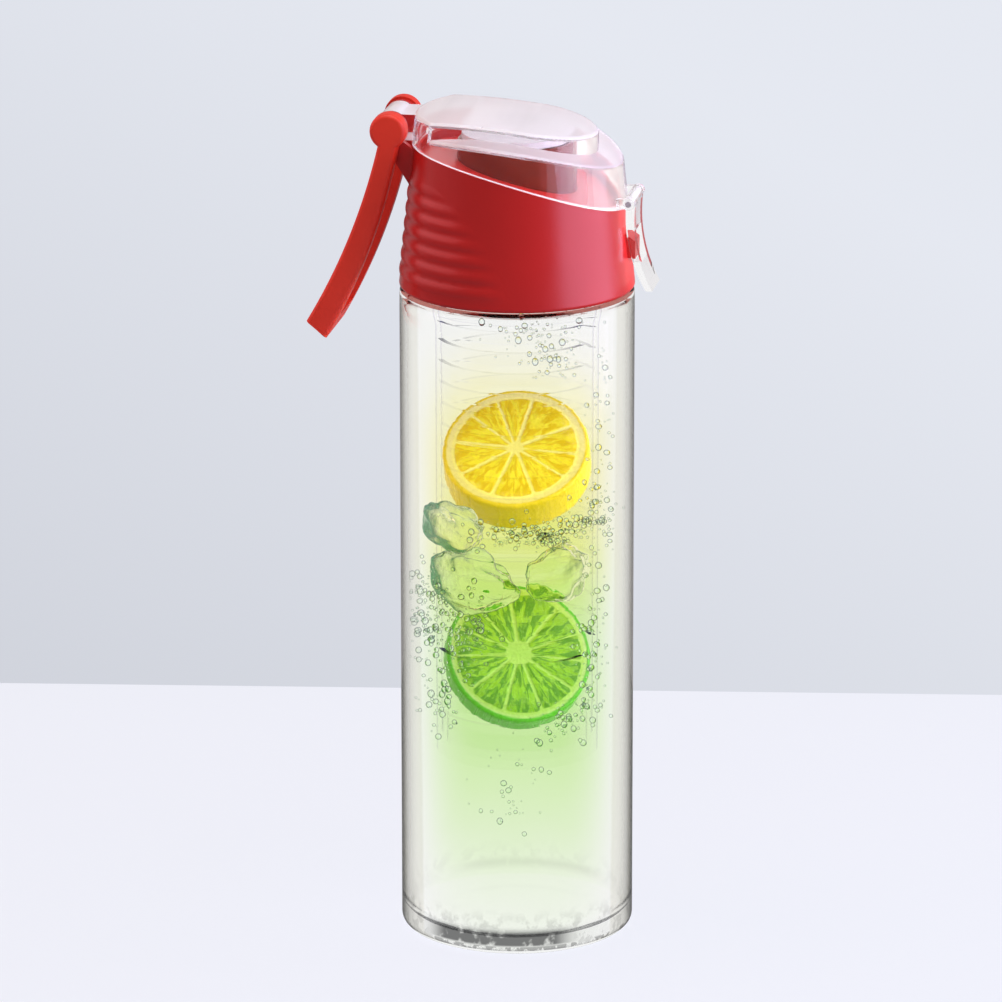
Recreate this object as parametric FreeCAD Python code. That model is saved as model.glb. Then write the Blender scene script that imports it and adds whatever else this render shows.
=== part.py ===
import FreeCAD, Part
import os
from math import radians, sin, sqrt
from FreeCAD import Vector

# Fruit infuser water bottle: clear bottle, red screw lid with a hinged clear cover, front latch,
# carry handle, drinking spout and a slotted infuser tube with fruit in it.
# Millimetres, +Z up, origin on the bottle's axis at the surface it stands on.
# +X is the front with the latch, -X the back with the hinge and handle.

# Fits shared by all pieces
running_gap = 0.05
part_gap = 0.3
seat_gap = 0.05
cut_over = 2.0
root_depth = 0.6

# Bottle body
body_radius = 36.0
body_wall = 2.4
base_thickness = 3.4
base_round = 3.0
floor_rise = 2.5
floor_round = 7.0
shoulder_height = 204.7
shoulder_round = 1.6
shoulder_inside_round = 4.0
neck_wall = 2.4
neck_height = 16.3

# Screw thread of neck and lid
thread_lead = 5.0
thread_depth = 1.0
thread_root = 2.2
thread_crest = 1.0
thread_start = 3.0
neck_thread_turns = 2.0
cap_thread_turns = 1.25

# Lid shell: its rim starts a little above the insert's plate and rises from front to back
lid_overhang = 0.2
lid_draw = 4.7
lid_wall = 2.2
lid_edge_round = 1.2
rim_front_room = 5.0
rim_mid_rise = 14.3
rim_back_rise = 20.0
deck_drop = 2.5
deck_thickness = 2.0

# Grip ribs round the back of the lid
rib_count = 7
rib_pitch = 4.75
rib_first_height = 5.5
rib_proud = 0.45
rib_width = 3.6
rib_zone_drop = 3.7
rib_zone_front = 4.0
rib_zone_mid_shares = (-0.23, 0.62)

# Lid insert and its seals
insert_room = 0.2
insert_wall = 1.4
insert_plate = 2.0
insert_foot = 2.0
insert_lift = 1.0
lid_seal_thickness = 1.6
socket_wall = 1.6
socket_depth = 9.0
spout_collar_wall = 1.7
spout_collar_height = 2.8

# Spout
spout_radius = 18.3
spout_wall = 2.8
spout_rise = 7.0
spout_lip_round = 1.2
spout_flange = 3.0
spout_flange_thickness = 1.8
spout_gasket_thickness = 1.0

# Flip cover: the skirt's top is measured from the lid's rim, the dome from the spout and stopper
cover_wall = 1.8
cover_overhang = 0.5
skirt_back_rise = 1.9
skirt_mid_rise = 10.2
skirt_front_rise = 13.1
skirt_round = 1.6
dome_side_room = 2.3
dome_front_room = 6.7
roof_room = 2.9
dome_back_rise = 0.9
dome_front_fall = 6.9
dome_round = 1.7

# Stopper under the cover's roof
stopper_inset = 1.5
stopper_thickness = 2.0
stopper_plug_depth = 1.6
stopper_plug_gap = 0.9
stopper_boss_radius = 6.0
stopper_collar_wall = 1.6
stopper_collar_height = 1.2

# Hinge, measured from the lid's outside and down from the dome's back
hinge_stand = 1.2
hinge_drop = 4.4
hinge_pin_radius = 1.5
knuckle_radius = 5.0
tongue_width = 14.0
tongue_half_depth = 4.0
ear_thickness = 2.4
ear_foot_low_drop = 15.7
ear_foot_high_drop = 2.2

# Carry handle, measured from the hinge pin outwards and down
head_radius = 5.6
head_thickness = 5.0
head_skin = 1.5
handle_neck = 6.0
handle_neck_drop = 4.0
handle_out = 31.0
handle_drop = 69.0
handle_width = 9.5
handle_bow = 3.2
scoop_in = 4.8
scoop_rise = 8.0
scoop_fall = 5.8
scoop_width = 6.8
scoop_depth = 1.2
handle_bar = 10.0
handle_round = 1.4

# Latch, measured from its pin outwards and down
latch_pin_radius = 0.9
latch_knuckle = 1.9
latch_rise = 4.3
latch_width = 15.0
latch_plate = 2.0
latch_length = 27.5
latch_lip_out = 5.1
latch_bow = 2.2
latch_window_width = 9.6
latch_window_top = 9.0
latch_window_height = 10.0
lug_thickness = 2.2
lug_half_depth = 1.5
catch_width = 8.0
catch_reach = 2.6
catch_clear = 0.8
catch_slope = 3.0

# Infuser tube and its end cap; the reach is from the insert's plate down to the cap
infuser_room = 1.6
infuser_wall = 1.6
infuser_reach = 165.7
infuser_ring_thickness = 2.0
infuser_cap_height = 5.5
infuser_cap_floor = 2.0
infuser_spigot = 5.0
infuser_spigot_gap = 0.1
slot_height = 2.6
slot_pitch = 6.6
slot_margin = 7.0
slot_rib_width = 21.2

# Bayonet between infuser and insert
lug_count = 3
lug_width = 3.2
lug_height = 2.0
lug_proud = 1.4
lug_drop = 5.0
bayonet_turn = 30.0

# Fruit slices in the infuser, their rise measured from its cap
lemon_gap = 0.7
lemon_thickness = 12.0
lemon_rise = 92.5
lemon_tilt = 53.0
lemon_facing = 3.0
lime_gap = 0.7
lime_thickness = 8.0
lime_rise = 28.5
lime_tilt = 38.0
lime_facing = 22.0
fruit_round = 1.2

# Lid heights, above its lower edge
lid_z = shoulder_height + part_gap
neck_top = shoulder_height + neck_height
plate_low = neck_top + lid_seal_thickness + 2 * seat_gap
plate_high = plate_low + insert_plate
rim_front_height = plate_high - lid_z + rim_front_room
rim_mid_height = rim_front_height + rim_mid_rise
rim_back_height = rim_front_height + rim_back_rise
spout_height = rim_mid_height + spout_rise
dome_mid_height = spout_height + part_gap + stopper_thickness + roof_room + cover_wall
dome_back_height = dome_mid_height + dome_back_rise
hinge_height = dome_back_height - hinge_drop
latch_height = rim_front_height + latch_rise
tall = hinge_height + dome_mid_height
rim = (rim_back_height, rim_mid_height, rim_front_height)
skirt_top = (rim_back_height + skirt_back_rise, rim_mid_height + skirt_mid_rise,
             rim_front_height + skirt_front_rise)
dome_top = (dome_back_height, dome_mid_height, dome_mid_height - dome_front_fall)

# The lid's tapered outside
lid_radius = body_radius + lid_overhang
lid_taper = lid_draw / rim_back_height


def lid_radius_at(height):
    return lid_radius - lid_taper * height


# Radii and places that follow from the lid inwards
insert_radius = lid_radius_at(plate_high - lid_z) - lid_wall - insert_room
insert_bore = insert_radius - insert_wall
neck_radius = insert_bore - part_gap - thread_depth
neck_bore = neck_radius - neck_wall
infuser_radius = neck_bore - infuser_room
infuser_bore = infuser_radius - infuser_wall
infuser_top = plate_low - infuser_ring_thickness - 2 * seat_gap
infuser_bottom = plate_low - infuser_reach
tube_low = infuser_bottom + infuser_cap_height + seat_gap
socket_radius = infuser_bore - part_gap
spout_bore = spout_radius - spout_wall
flange_low = plate_high + spout_gasket_thickness + 2 * seat_gap
flange_high = flange_low + spout_flange_thickness
flange_radius = spout_radius + spout_flange
dome_half_width = spout_radius + dome_side_room
dome_front = spout_radius + dome_front_room
hinge_x = -(lid_radius + hinge_stand)
hinge_z = lid_z + hinge_height
tongue_half = tongue_width / 2
ear_near = tongue_half + part_gap
ear_far = ear_near + ear_thickness
head_near = ear_far + part_gap
head_far = head_near + head_thickness
latch_x = lid_radius_at(latch_height) + cover_overhang + part_gap + latch_knuckle
latch_z = lid_z + latch_height
latch_half = latch_width / 2
lug_near = latch_half + part_gap
lug_far = lug_near + lug_thickness


def at(x, z, y=0):
    return Vector(x, y, z)


def line(a, b):
    return Part.LineSegment(a, b).toShape()


def arc(a, b, c):
    return Part.Arc(a, b, c).toShape()


def outline(points):
    return Part.makePolygon(points + points[:1]).Edges


def turned(edges):
    face = Part.Face(Part.Wire(edges))
    return face.revolve(Vector(0, 0, 0), Vector(0, 0, 1), 360)


def pushed(edges, y_low, y_high):
    face = Part.Face(Part.Wire(edges))
    face.translate(Vector(0, y_low, 0))
    return face.extrude(Vector(0, y_high - y_low, 0))


def post(radius, low, high):
    return Part.makeCylinder(radius, high - low, Vector(0, 0, low))


def ring(outer, inner, low, high):
    return post(outer, low, high).cut(post(inner, low - cut_over, high + cut_over))


def rod_y(radius, x, z, y_low, y_high):
    return Part.makeCylinder(radius, y_high - y_low, Vector(x, y_low, z), Vector(0, 1, 0))


def block(x_low, x_high, y_low, y_high, z_low, z_high):
    size = (x_high - x_low, y_high - y_low, z_high - z_low)
    return Part.makeBox(*size, Vector(x_low, y_low, z_low))


def both_sides(shape):
    return shape.fuse(shape.mirror(Vector(0, 0, 0), Vector(0, 1, 0)))


def edges_where(shape, test):
    return [edge for edge in shape.Edges if test(edge)]


def bulge(a, b, sag):
    """Midpoint of a-b moved square to it by sag, to the left going from a to b, in the XZ plane."""
    along = b.sub(a).normalize()
    return (a + b) * 0.5 + Vector(-along.z, 0, along.x) * sag


def thread_ridge(radius, outward, low, turns):
    """Trapezoid ridge on a helix; outward is 1 for the neck and -1 for the insert."""
    helix = Part.makeHelix(thread_lead, thread_lead * turns, radius)
    root, tip = radius - outward * root_depth, radius + outward * thread_depth
    section = Part.makePolygon([
        at(root, -thread_root / 2), at(tip, -thread_crest / 2),
        at(tip, thread_crest / 2), at(root, thread_root / 2), at(root, -thread_root / 2)])
    ridge = Part.Wire(helix.Edges).makePipeShell([section], True, True)
    ridge.translate(Vector(0, 0, low))
    return ridge


def save(name, shape):
    shape.exportStep("parts/" + name + ".step")
    print(name, shape.isValid(), len(shape.Solids), round(shape.Volume, 1))


def bottle_body():
    inside = body_radius - body_wall
    floor_edge = inside - floor_round
    under = shoulder_height - body_wall
    dip = 1 - sqrt(0.5)
    floor_curve = (floor_edge ** 2 + floor_rise ** 2) / (2 * floor_rise)
    floor_mid = sqrt(floor_curve ** 2 - (floor_edge / 2) ** 2) - floor_curve + floor_rise
    edges = [
        line(at(0, 0), at(body_radius - base_round, 0)),
        arc(at(body_radius - base_round, 0),
            at(body_radius - base_round * dip, base_round * dip), at(body_radius, base_round)),
        line(at(body_radius, base_round), at(body_radius, shoulder_height - shoulder_round)),
        arc(at(body_radius, shoulder_height - shoulder_round),
            at(body_radius - shoulder_round * dip, shoulder_height - shoulder_round * dip),
            at(body_radius - shoulder_round, shoulder_height)),
        line(at(body_radius - shoulder_round, shoulder_height), at(neck_radius, shoulder_height)),
        line(at(neck_radius, shoulder_height), at(neck_radius, neck_top)),
        line(at(neck_radius, neck_top), at(neck_bore, neck_top)),
        line(at(neck_bore, neck_top), at(neck_bore, under)),
        line(at(neck_bore, under), at(inside - shoulder_inside_round, under)),
        arc(at(inside - shoulder_inside_round, under),
            at(inside - shoulder_inside_round * dip, under - shoulder_inside_round * dip),
            at(inside, under - shoulder_inside_round)),
        line(at(inside, under - shoulder_inside_round), at(inside, base_thickness + floor_round)),
        arc(at(inside, base_thickness + floor_round),
            at(inside - floor_round * dip, base_thickness + floor_round * dip),
            at(floor_edge, base_thickness)),
        arc(at(floor_edge, base_thickness), at(floor_edge / 2, base_thickness + floor_mid),
            at(0, base_thickness + floor_rise)),
        line(at(0, base_thickness + floor_rise), at(0, 0))]
    ridge = thread_ridge(neck_radius, 1, shoulder_height + thread_start, neck_thread_turns)
    return turned(edges).fuse(ridge)


def below(heights, lift):
    """Everything under a curve that runs front to back over the lid."""
    back, mid, front = [lid_z + height + lift for height in heights]
    low = lid_z - cut_over
    a, b, c = at(-lid_radius, back), at(0, mid), at(lid_radius, front)
    edges = [arc(a, b, c), line(c, at(lid_radius, low)),
             line(at(lid_radius, low), at(-lid_radius, low)), line(at(-lid_radius, low), a)]
    return pushed(edges, -lid_radius, lid_radius)


def lid_cone(offset):
    """The lid's tapered outside, moved out by offset and carried up past the cover."""
    return Part.makeCone(lid_radius + offset, lid_radius_at(tall) + offset, tall, Vector(0, 0, lid_z))


def grip_ribs():
    ribs = []
    for i in range(rib_count):
        height = rib_first_height + i * rib_pitch
        low, high = height - rib_width / 2, height + rib_width / 2
        foot, head = lid_radius_at(low) - root_depth, lid_radius_at(high) - root_depth
        edges = [
            arc(at(foot + root_depth, lid_z + low),
                at(lid_radius_at(height) + rib_proud, lid_z + height),
                at(head + root_depth, lid_z + high)),
            line(at(head + root_depth, lid_z + high), at(head, lid_z + high)),
            line(at(head, lid_z + high), at(foot, lid_z + low)),
            line(at(foot, lid_z + low), at(foot + root_depth, lid_z + low))]
        ribs.append(turned(edges))
    reach = lid_radius + rib_proud + cut_over
    across, up = rib_zone_mid_shares
    top = rim_back_height - rib_zone_drop
    a, b = at(-reach, lid_z + top), at(across * lid_radius, lid_z + up * top)
    c, d = at(rib_zone_front, lid_z), at(-reach, lid_z)
    zone = pushed([arc(a, b, c), line(c, d), line(d, a)], -reach, reach)
    return Part.makeCompound(ribs).common(zone)


def hinge_ear():
    """One ear: a round eye at the pin on a web that runs down into the lid's back wall."""
    foot_low, foot_high = rim_back_height - ear_foot_low_drop, rim_back_height - ear_foot_high_drop
    foot_x = -(lid_radius_at(foot_high) - lid_wall)
    eye_edge = knuckle_radius * sin(radians(45))
    web = outline([
        at(hinge_x - knuckle_radius, hinge_z), at(foot_x, lid_z + foot_low),
        at(foot_x, lid_z + foot_high), at(hinge_x + eye_edge, hinge_z - eye_edge),
        at(hinge_x, hinge_z)])
    eye = rod_y(knuckle_radius, hinge_x, hinge_z, ear_near, ear_far)
    return pushed(web, ear_near, ear_far).fuse(eye)


def latch_catch():
    """Tooth on the lid's front that stands in the latch's window."""
    top = latch_z - latch_window_top - catch_clear
    low = latch_z - latch_window_top - latch_window_height + catch_clear
    root = lid_radius_at(top - lid_z) - lid_wall / 2
    face = lid_radius_at((top + low) / 2 - lid_z) + catch_reach
    points = [at(root, low), at(face, low), at(face, top - catch_slope), at(root, top)]
    return pushed(outline(points), -catch_width / 2, catch_width / 2)


def lid_shell():
    outside = lid_cone(0)
    lower_edge = edges_where(outside, lambda e: abs(e.BoundBox.ZMax - lid_z) < seat_gap)
    outside = outside.makeFillet(lid_edge_round, lower_edge).common(below(rim, 0))
    inside = lid_cone(-lid_wall)
    cavity = inside.common(below(rim, -deck_drop - deck_thickness))
    tray = inside.cut(below(rim, -deck_drop))
    shell = outside.cut(Part.makeCompound([cavity, tray]))
    shell = shell.cut(post(spout_radius + running_gap, lid_z, lid_z + tall))
    ears = both_sides(hinge_ear()).cut(lid_cone(-lid_wall / 2))
    shell = shell.fuse([grip_ribs().cut(inside), ears, latch_catch().cut(inside)])
    reach = ear_far + cut_over
    return shell.cut(rod_y(hinge_pin_radius + running_gap, hinge_x, hinge_z, -reach, reach))


def inner_cap():
    low = lid_z + insert_lift
    foot_radius = lid_radius_at(insert_lift + insert_foot) - lid_wall - running_gap
    cap = ring(insert_radius, insert_bore, low, plate_high)
    cap = cap.fuse(ring(foot_radius, insert_bore, low, low + insert_foot))
    cap = cap.fuse(ring(insert_radius, spout_bore, plate_low, plate_high))
    cap = cap.fuse(ring(socket_radius, socket_radius - socket_wall, plate_low - socket_depth, plate_high))
    collar_bore = flange_radius + part_gap
    cap = cap.fuse(ring(collar_bore + spout_collar_wall, collar_bore,
                        plate_high - seat_gap, plate_high + spout_collar_height))
    start = shoulder_height + thread_start + thread_lead / 2
    cap = cap.fuse(thread_ridge(insert_bore, -1, start, cap_thread_turns))
    return cap.fuse(bayonet_lugs())


def bayonet_lugs():
    lug_z = plate_low - lug_drop
    lug = block(socket_radius - root_depth, socket_radius + lug_proud,
                -lug_width / 2, lug_width / 2, lug_z - lug_height, lug_z)
    return Part.makeCompound([spun(lug, i * 360 / lug_count) for i in range(lug_count)])


def spun(shape, angle):
    copy = shape.copy()
    copy.rotate(Vector(0, 0, 0), Vector(0, 0, 1), angle)
    return copy


def lid_seal():
    return ring(neck_radius, neck_bore, neck_top + seat_gap, plate_low - seat_gap)


def infuser_ring():
    return ring(infuser_radius, infuser_bore, infuser_top + seat_gap, plate_low - seat_gap)


def spout():
    top = lid_z + spout_height
    tube = post(spout_radius, flange_low, top).fuse(post(flange_radius, flange_low, flange_high))
    tube = tube.cut(post(spout_bore, flange_low - cut_over, top + cut_over))
    lip = edges_where(tube, lambda e: e.BoundBox.ZMin > top - seat_gap)
    return tube.makeFillet(spout_lip_round, lip)


def spout_gasket():
    return ring(flange_radius, spout_bore, plate_high + seat_gap, flange_low - seat_gap)


def dome_block(inset, top):
    """The raised oval tier: straight sides with a round front, under the given top."""
    half, front = dome_half_width - inset, dome_front - inset
    centre = front - half
    edges = [
        line(Vector(-lid_radius, -half, lid_z), Vector(centre, -half, lid_z)),
        arc(Vector(centre, -half, lid_z), Vector(front, 0, lid_z), Vector(centre, half, lid_z)),
        line(Vector(centre, half, lid_z), Vector(-lid_radius, half, lid_z)),
        line(Vector(-lid_radius, half, lid_z), Vector(-lid_radius, -half, lid_z))]
    tier = Part.Face(Part.Wire(edges)).extrude(Vector(0, 0, tall))
    return tier.common(top)


def cover_form(inset):
    """Both tiers of the cover as one full block, drawn in by inset."""
    cone = lid_cone(cover_overhang - inset)
    skirt = cone.common(below(skirt_top, -inset))
    dome = cone.common(dome_block(inset, below(dome_top, -inset)))
    return skirt, dome


def rounded_top(tier, heights, radius):
    """Rounds the edge where a tier's side meets its arched top."""
    arch = [face for face in below(heights, 0).Faces if isinstance(face.Surface, Part.Cylinder)][0]

    def on_arch(edge):
        middle = edge.valueAt((edge.FirstParameter + edge.LastParameter) / 2)
        return Part.Vertex(middle).distToShape(arch)[0] < seat_gap
    return tier.makeFillet(radius, edges_where(tier, on_arch))


def flip_cover():
    skirt, dome = cover_form(0)
    skirt = rounded_top(skirt, skirt_top, skirt_round)
    dome = rounded_top(dome, dome_top, dome_round)
    skirt_inside, dome_inside = cover_form(cover_wall)
    under = below(rim, part_gap)
    inside = skirt_inside.fuse(dome_inside)
    cover = skirt.fuse(dome).cut(inside).cut(under)
    boss_low = lid_z + spout_height + part_gap + stopper_thickness
    boss = post(stopper_boss_radius, boss_low, lid_z + tall).common(dome_inside)
    pin_reach = lug_far + cut_over
    cover = cover.fuse([boss, hinge_tongue().cut(inside), both_sides(latch_lug()).cut(inside)])
    cover = cover.cut(rod_y(hinge_pin_radius + running_gap, hinge_x, hinge_z, -tongue_width, tongue_width))
    return cover.cut(rod_y(latch_pin_radius + running_gap, latch_x, latch_z, -pin_reach, pin_reach))


def hinge_tongue():
    wall_x = -(lid_radius_at(hinge_height) + cover_overhang - cover_wall - root_depth)
    web = block(hinge_x, wall_x, -tongue_half, tongue_half,
                hinge_z - tongue_half_depth, hinge_z + tongue_half_depth)
    return web.fuse(rod_y(knuckle_radius, hinge_x, hinge_z, -tongue_half, tongue_half))


def latch_lug():
    wall_x = latch_x - latch_knuckle - part_gap - cover_wall - root_depth
    web = block(wall_x, latch_x, lug_near, lug_far, latch_z - lug_half_depth, latch_z + lug_half_depth)
    return web.fuse(rod_y(latch_knuckle, latch_x, latch_z, lug_near, lug_far))


def spout_seal():
    low = lid_z + spout_height + part_gap
    high = low + stopper_thickness
    plug_radius = spout_bore - stopper_plug_gap
    collar = stopper_boss_radius + running_gap
    stopper = post(spout_radius - stopper_inset, low, high)
    stopper = stopper.fuse(post(plug_radius, low - stopper_plug_depth, high))
    return stopper.fuse(ring(collar + stopper_collar_wall, collar,
                             high - seat_gap, high + stopper_collar_height))


def hinge_pin():
    reach = head_far - head_skin - part_gap
    return rod_y(hinge_pin_radius, hinge_x, hinge_z, -reach, reach)


def latch_pin():
    return rod_y(latch_pin_radius, latch_x, latch_z, -lug_far, lug_far)


def from_hinge(out, drop):
    return at(hinge_x - out, hinge_z - drop)


def handle_arms():
    """Side outline of the handle pushed across its full width, its long edges rounded."""
    neck_out = from_hinge(handle_neck / 2, handle_neck_drop)
    neck_in = from_hinge(-handle_neck / 2, handle_neck_drop)
    end_out, end_in = from_hinge(handle_out, handle_drop), from_hinge(handle_out - handle_width, handle_drop)
    edges = [
        line(neck_in, neck_out),
        arc(neck_out, bulge(neck_out, end_out, handle_bow), end_out),
        line(end_out, end_in),
        arc(end_in, bulge(end_in, neck_in, -handle_bow), neck_in)]
    arms = pushed(edges, -head_far, head_far)

    def long_side(edge):
        return edge.BoundBox.YLength < seat_gap and edge.Length > handle_drop / 2
    return arms.makeFillet(handle_round, edges_where(arms, long_side))


def handle_scoop():
    """What the hollowed end takes off the handle: all below a curve through its two corners."""
    scoop_out, scoop_drop = handle_out - scoop_in, handle_drop - scoop_rise
    corner = from_hinge(scoop_out, scoop_drop)
    tip = from_hinge(scoop_out - scoop_width, scoop_drop + scoop_fall)
    reach = tip.sub(corner)
    a, b = corner.sub(reach), tip + reach
    low = hinge_z - handle_drop - head_radius
    edges = [arc(a, bulge(corner, tip, scoop_depth), b), line(b, at(b.x, low)),
             line(at(b.x, low), at(a.x, low)), line(at(a.x, low), a)]
    return pushed(edges, -head_far - cut_over, head_far + cut_over)


def handle_head():
    head = rod_y(head_radius, hinge_x, hinge_z, -head_far, head_far)
    return head.makeFillet(handle_round, edges_where(head, lambda e: e.Closed))


def carry_handle():
    """Loop handle: two arms with round heads, joined by a bar with a hollowed end."""
    loop = handle_arms().cut(handle_scoop()).fuse(handle_head())
    window = block(hinge_x - handle_drop, hinge_x + head_radius + cut_over, -head_near, head_near,
                   hinge_z - handle_drop + handle_bar, hinge_z + head_radius + cut_over)
    bore = head_far - head_skin
    return loop.cut(window).cut(rod_y(hinge_pin_radius + running_gap, hinge_x, hinge_z, -bore, bore))


def latch():
    """Clip plate that hangs from its pin, with a window for the catch and a flared lip."""
    top_in, top_out = at(latch_x - latch_knuckle / 2, latch_z), at(latch_x + latch_knuckle, latch_z)
    lip_in = at(latch_x + latch_lip_out, latch_z - latch_length)
    lip_out = at(latch_x + latch_lip_out + latch_plate, latch_z - latch_length)
    edges = [
        arc(top_in, bulge(top_in, lip_in, -latch_bow), lip_in), line(lip_in, lip_out),
        arc(lip_out, bulge(lip_out, top_out, latch_bow), top_out), line(top_out, top_in)]
    clip = pushed(edges, -latch_half, latch_half)
    clip = clip.fuse(rod_y(latch_knuckle, latch_x, latch_z, -latch_half, latch_half))
    window_top = latch_z - latch_window_top
    clip = clip.cut(block(lid_radius_at(latch_height) - cut_over, latch_x + latch_length,
                          -latch_window_width / 2, latch_window_width / 2,
                          window_top - latch_window_height, window_top))
    return clip.cut(rod_y(latch_pin_radius + running_gap, latch_x, latch_z, -latch_width, latch_width))


def bayonet_slots():
    """Keyways in the tube's top: straight in from the end, then a run to turn along."""
    run = block(socket_radius - cut_over, infuser_radius + cut_over,
                -lug_width / 2 - part_gap, lug_width / 2 + part_gap,
                plate_low - lug_drop - lug_height - part_gap, plate_low - lug_drop + part_gap)
    steps = 6
    sweep = [spun(run, -bayonet_turn * i / steps) for i in range(steps + 1)]
    entry = block(socket_radius - cut_over, infuser_radius + cut_over,
                  -lug_width / 2 - part_gap, lug_width / 2 + part_gap,
                  plate_low - lug_drop, infuser_top + cut_over)
    keyway = sweep[0].fuse(sweep[1:] + [spun(entry, -bayonet_turn)])
    return Part.makeCompound([spun(keyway, i * 360 / lug_count) for i in range(lug_count)])


def infuser_basket():
    """Tube built up from full bands and, at each slot's height, the two spines that carry them."""
    room = plate_low - socket_depth - slot_margin - (tube_low + infuser_spigot)
    count = int(room / slot_pitch)
    reach = infuser_radius + cut_over
    spine = block(-reach, reach, -slot_rib_width / 2, slot_rib_width / 2, tube_low, infuser_top)
    levels, low = [], tube_low
    for i in range(count):
        slot = tube_low + infuser_spigot + slot_margin / 2 + i * slot_pitch
        levels.append(ring(infuser_radius, infuser_bore, low, slot))
        low = slot + slot_height
        levels.append(ring(infuser_radius, infuser_bore, slot, low).common(spine))
    levels.append(ring(infuser_radius, infuser_bore, low, infuser_top))
    return levels[0].fuse(levels[1:]).cut(bayonet_slots())


def infuser_cap():
    rim_top = infuser_bottom + infuser_cap_height
    spigot_radius = infuser_bore - infuser_spigot_gap
    cup = post(infuser_radius, infuser_bottom, rim_top)
    spigot_top = rim_top + infuser_spigot
    cup = cup.fuse(post(spigot_radius, infuser_bottom, spigot_top))
    hollow = post(spigot_radius - infuser_wall, infuser_bottom + infuser_cap_floor, spigot_top + cut_over)
    return cup.cut(hollow)


def fruit_slice(gap, thickness, rise, tilt, facing):
    """Round slice, its face turned up by tilt and round to the right by facing."""
    disc = post(infuser_bore - gap, -thickness / 2, thickness / 2)
    disc = disc.makeFillet(fruit_round, edges_where(disc, lambda e: e.Closed))
    disc.rotate(Vector(0, 0, 0), Vector(1, 0, 0), 90 - tilt)
    disc.rotate(Vector(0, 0, 0), Vector(0, 0, 1), facing)
    disc.translate(Vector(0, 0, infuser_bottom + rise))
    return disc


os.makedirs("parts", exist_ok=True)
save("bottle_body", bottle_body())
save("lid_shell", lid_shell())
save("inner_cap", inner_cap())
save("lid_seal", lid_seal())
save("spout", spout())
save("spout_gasket", spout_gasket())
save("flip_cover", flip_cover())
save("spout_seal", spout_seal())
save("hinge_pin", hinge_pin())
save("carry_handle", carry_handle())
save("latch", latch())
save("latch_pin", latch_pin())
save("infuser_basket", infuser_basket())
save("infuser_ring", infuser_ring())
save("infuser_cap", infuser_cap())
save("lemon_slice", fruit_slice(lemon_gap, lemon_thickness, lemon_rise, lemon_tilt, lemon_facing))
save("lime_slice", fruit_slice(lime_gap, lime_thickness, lime_rise, lime_tilt, lime_facing))
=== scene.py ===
import bmesh
import bpy
import random
from math import atan2, cos, exp, hypot, pi, radians, sin, tau
from mathutils import Matrix, Vector, noise


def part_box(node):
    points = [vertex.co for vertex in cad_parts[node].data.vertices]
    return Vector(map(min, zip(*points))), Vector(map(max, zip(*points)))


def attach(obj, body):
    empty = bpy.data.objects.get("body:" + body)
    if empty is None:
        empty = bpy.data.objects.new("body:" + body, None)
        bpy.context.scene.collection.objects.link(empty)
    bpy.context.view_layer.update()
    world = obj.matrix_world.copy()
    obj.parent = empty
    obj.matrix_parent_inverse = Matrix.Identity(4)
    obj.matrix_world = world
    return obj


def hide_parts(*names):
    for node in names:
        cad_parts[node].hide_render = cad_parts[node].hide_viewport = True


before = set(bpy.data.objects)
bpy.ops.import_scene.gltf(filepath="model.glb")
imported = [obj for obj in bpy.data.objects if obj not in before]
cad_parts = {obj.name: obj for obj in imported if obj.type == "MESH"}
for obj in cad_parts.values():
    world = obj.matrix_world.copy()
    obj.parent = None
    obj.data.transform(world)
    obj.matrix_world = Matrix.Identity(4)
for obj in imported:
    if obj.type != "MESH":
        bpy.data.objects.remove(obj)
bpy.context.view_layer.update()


# Clear bottle: one moulding of clear copolyester with a thick base, a square shoulder and a neck with
# a two-turn thread. The wall is an outline spun round the bottle's axis. The glow of juice is a tint of
# the wall's faces. The lid's red in the shoulder's corner is painted shade and a painted reflection of the
# lid, and the dark marks in the thick foot are painted shade that stands in for light bent by the base.
body_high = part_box("bottle_body")[1]
body_radius = body_high.x
body_wall = 0.0024
base_thickness = 0.0034
base_round = 0.003
floor_rise = 0.0025
floor_round = 0.007
floor_rings = 10
shoulder_height = 0.2047
shoulder_round = 0.0016
shoulder_inside_round = 0.004
neck_top = body_high.z
neck_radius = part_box("lid_seal")[1].x
neck_bore = neck_radius - body_wall
lip_round = 0.0005
round_steps = 160
weld = 1e-6


def spun(outline, steps=round_steps, segments=6):
    """Spins a closed outline of (radius, height, corner round) points about the bottle's axis."""
    bm = bmesh.new()
    corners = [bm.verts.new((radius, 0, height)) for radius, height, _ in outline]
    for a, b in zip(corners, corners[1:] + corners[:1]):
        if a.co.x > 0 or b.co.x > 0:
            bm.edges.new((a, b))
    for corner, (_, _, bend) in zip(corners, outline):
        if bend:
            bmesh.ops.bevel(bm, geom=[corner], offset=bend, offset_type="OFFSET", segments=segments,
                            profile=0.5, material=-1, affect="VERTICES")
    bmesh.ops.spin(bm, geom=bm.verts[:] + bm.edges[:], cent=(0, 0, 0), axis=(0, 0, 1),
                   angle=tau, steps=steps, use_merge=True)
    bmesh.ops.remove_doubles(bm, verts=bm.verts, dist=weld)
    bmesh.ops.recalc_face_normals(bm, faces=bm.faces)
    return bm


def shown(bm, name, material, body, slot, *stands_for, sharp=35):
    """Makes the mesh a smooth-shaded piece that rides on a body and stands for its CAD nodes."""
    for face in bm.faces:
        face.smooth = True
    for edge in bm.edges:
        edge.smooth = edge.calc_face_angle(0) < radians(sharp)
    mesh = bpy.data.meshes.new(name)
    bm.to_mesh(mesh)
    bm.free()
    mesh.materials.append(material)
    piece = bpy.data.objects.new(name, mesh)
    bpy.context.scene.collection.objects.link(piece)
    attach(piece, body)
    if stands_for:
        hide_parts(*stands_for)
    return piece


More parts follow.
